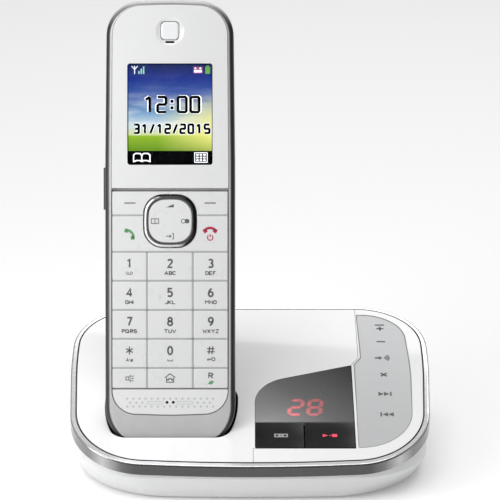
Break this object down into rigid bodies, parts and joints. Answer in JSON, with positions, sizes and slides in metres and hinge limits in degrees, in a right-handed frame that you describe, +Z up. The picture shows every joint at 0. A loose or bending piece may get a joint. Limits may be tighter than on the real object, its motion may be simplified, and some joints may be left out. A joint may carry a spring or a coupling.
{
  "type": "cordless phone with answering base",
  "caption": "White cordless telephone handset with colour screen, standing in a wedge-shaped charging base with answering-machine keys and a message counter.",
  "frame": {"origin": "on the table under the middle of the base's outline", "axes": "+X to the right as seen by the user, +Y to the rear, +Z up"},
  "size_m": [0.1368, 0.0973, 0.1725],
  "materials": {
    "white_gloss": "high gloss",
    "white_satin": "fine satin",
    "key_white": "satin keys",
    "bright_ring": "bright plated plastic",
    "dark_chrome": "silver front, darker plated sides",
    "silver_panel": "satin silver film",
    "smoked_window": "smoked, polished",
    "clear_window": "clear, polished",
    "black_gloss": "gloss black",
    "black_matte": "matt black",
    "screen": "colour display",
    "red_digits": "red segment display",
    "foot_rubber": "soft matt",
    "mat_rubber": "silicone",
    "board_green": "solder mask",
    "contact_metal": "plated spring steel",
    "cell_wrap": "printed sleeve",
    "lens_white": "milky lens",
    "grey_plastic": "satin"
  },
  "bodies": {
    "base": {"base_lower_housing": "white_satin", "base_trim_ring": "bright_ring", "base_top_cover": "white_gloss", "base_side_frame": "white_gloss", "control_panel": "silver_panel", "panel_switches": "board_green", "message_window": "smoked_window", "message_counter": "red_digits", "display_tray": "black_matte", "cradle_liner": "black_matte", "base_circuit_board": "board_green", "base_loudspeaker": "black_matte", "line_socket": "black_matte", "power_socket": "black_matte", "rubber_feet": "foot_rubber", "case_screws": "contact_metal"},
    "handset": {"handset_frame": "dark_chrome", "display_panel": "white_gloss", "display_window": "clear_window", "display_module": "screen", "indicator_lens": "lens_white", "microphone_cover": "white_satin", "keypad_mat": "mat_rubber", "handset_circuit_board": "board_green", "earpiece": "black_matte", "microphone": "black_matte", "ringer_speaker": "black_matte", "handset_rear_housing": "white_satin", "battery_cells": "cell_wrap", "battery_contacts": "contact_metal", "charge_plates": "contact_metal"},
    "navigation": {"navigation_key": "key_white", "navigation_ring": "bright_ring"},
    "battery_cover": {"battery_cover": "white_satin"},
    "side_key": {"side_key": "grey_plastic"},
    "answer_key": {"answer_key": "black_gloss"},
    "play_stop_key": {"play_stop_key": "black_gloss"},
    "charge_contact_left": {"charge_contact_left": "contact_metal"},
    "charge_contact_right": {"charge_contact_right": "contact_metal"},
    "key_1": {"key_1": "key_white"},
    "key_2": {"key_2": "key_white"},
    "key_3": {"key_3": "key_white"},
    "key_4": {"key_4": "key_white"},
    "key_5": {"key_5": "key_white"},
    "key_6": {"key_6": "key_white"},
    "key_7": {"key_7": "key_white"},
    "key_8": {"key_8": "key_white"},
    "key_9": {"key_9": "key_white"},
    "key_star": {"key_star": "key_white"},
    "key_0": {"key_0": "key_white"},
    "key_hash": {"key_hash": "key_white"},
    "speaker_key": {"speaker_key": "key_white"},
    "intercom_key": {"intercom_key": "key_white"},
    "recall_key": {"recall_key": "key_white"},
    "softkey_left": {"softkey_left": "key_white"},
    "softkey_right": {"softkey_right": "key_white"},
    "talk_key": {"talk_key": "key_white"},
    "off_key": {"off_key": "key_white"}
  },
  "joints": [
    {"name": "handset_lift", "type": "slide", "parent": "base", "child": "handset", "axis": [0, 0.2924, 0.9563], "range_m": [0, 0.045]},
    {"name": "key_1_press", "type": "slide", "parent": "handset", "child": "key_1", "axis": [0, 0.9563, -0.2924], "range_m": [0, 0.0005], "stiffness_N_per_m": 1500},
    {"name": "key_2_press", "type": "slide", "parent": "handset", "child": "key_2", "axis": [0, 0.9563, -0.2924], "range_m": [0, 0.0005], "stiffness_N_per_m": 1500},
    {"name": "key_3_press", "type": "slide", "parent": "handset", "child": "key_3", "axis": [0, 0.9563, -0.2924], "range_m": [0, 0.0005], "stiffness_N_per_m": 1500},
    {"name": "key_4_press", "type": "slide", "parent": "handset", "child": "key_4", "axis": [0, 0.9563, -0.2924], "range_m": [0, 0.0005], "stiffness_N_per_m": 1500},
    {"name": "key_5_press", "type": "slide", "parent": "handset", "child": "key_5", "axis": [0, 0.9563, -0.2924], "range_m": [0, 0.0005], "stiffness_N_per_m": 1500},
    {"name": "key_6_press", "type": "slide", "parent": "handset", "child": "key_6", "axis": [0, 0.9563, -0.2924], "range_m": [0, 0.0005], "stiffness_N_per_m": 1500},
    {"name": "key_7_press", "type": "slide", "parent": "handset", "child": "key_7", "axis": [0, 0.9563, -0.2924], "range_m": [0, 0.0005], "stiffness_N_per_m": 1500},
    {"name": "key_8_press", "type": "slide", "parent": "handset", "child": "key_8", "axis": [0, 0.9563, -0.2924], "range_m": [0, 0.0005], "stiffness_N_per_m": 1500},
    {"name": "key_9_press", "type": "slide", "parent": "handset", "child": "key_9", "axis": [0, 0.9563, -0.2924], "range_m": [0, 0.0005], "stiffness_N_per_m": 1500},
    {"name": "key_star_press", "type": "slide", "parent": "handset", "child": "key_star", "axis": [0, 0.9563, -0.2924], "range_m": [0, 0.0005], "stiffness_N_per_m": 1500},
    {"name": "key_0_press", "type": "slide", "parent": "handset", "child": "key_0", "axis": [0, 0.9563, -0.2924], "range_m": [0, 0.0005], "stiffness_N_per_m": 1500},
    {"name": "key_hash_press", "type": "slide", "parent": "handset", "child": "key_hash", "axis": [0, 0.9563, -0.2924], "range_m": [0, 0.0005], "stiffness_N_per_m": 1500},
    {"name": "speaker_key_press", "type": "slide", "parent": "handset", "child": "speaker_key", "axis": [0, 0.9563, -0.2924], "range_m": [0, 0.0005], "stiffness_N_per_m": 1500},
    {"name": "intercom_key_press", "type": "slide", "parent": "handset", "child": "intercom_key", "axis": [0, 0.9563, -0.2924], "range_m": [0, 0.0005], "stiffness_N_per_m": 1500},
    {"name": "recall_key_press", "type": "slide", "parent": "handset", "child": "recall_key", "axis": [0, 0.9563, -0.2924], "range_m": [0, 0.0005], "stiffness_N_per_m": 1500},
    {"name": "softkey_left_press", "type": "slide", "parent": "handset", "child": "softkey_left", "axis": [0, 0.9563, -0.2924], "range_m": [0, 0.0005], "stiffness_N_per_m": 1500},
    {"name": "softkey_right_press", "type": "slide", "parent": "handset", "child": "softkey_right", "axis": [0, 0.9563, -0.2924], "range_m": [0, 0.0005], "stiffness_N_per_m": 1500},
    {"name": "talk_key_press", "type": "slide", "parent": "handset", "child": "talk_key", "axis": [0, 0.9563, -0.2924], "range_m": [0, 0.0005], "stiffness_N_per_m": 1500},
    {"name": "off_key_press", "type": "slide", "parent": "handset", "child": "off_key", "axis": [0, 0.9563, -0.2924], "range_m": [0, 0.0005], "stiffness_N_per_m": 1500},
    {"name": "navigation_press", "type": "slide", "parent": "handset", "child": "navigation", "axis": [0, 0.9563, -0.2924], "range_m": [0, 0.0005], "stiffness_N_per_m": 1500},
    {"name": "side_key_press", "type": "slide", "parent": "handset", "child": "side_key", "axis": [1, 0, 0], "range_m": [0, 0.0004], "stiffness_N_per_m": 1500},
    {"name": "battery_cover_off", "type": "slide", "parent": "handset", "child": "battery_cover", "axis": [0, 0.9563, -0.2924], "range_m": [0, 0.012]},
    {"name": "answer_key_press", "type": "slide", "parent": "base", "child": "answer_key", "axis": [0, 0.3108, -0.9505], "range_m": [0, 0.0006], "stiffness_N_per_m": 1500},
    {"name": "play_stop_key_press", "type": "slide", "parent": "base", "child": "play_stop_key", "axis": [0, 0.3108, -0.9505], "range_m": [0, 0.0006], "stiffness_N_per_m": 1500},
    {"name": "charge_contact_left_dip", "type": "slide", "parent": "base", "child": "charge_contact_left", "axis": [0, 0.2924, 0.9563], "range_m": [-0.0008, 0], "stiffness_N_per_m": 600},
    {"name": "charge_contact_right_dip", "type": "slide", "parent": "base", "child": "charge_contact_right", "axis": [0, 0.2924, 0.9563], "range_m": [-0.0008, 0], "stiffness_N_per_m": 600}
  ]
}
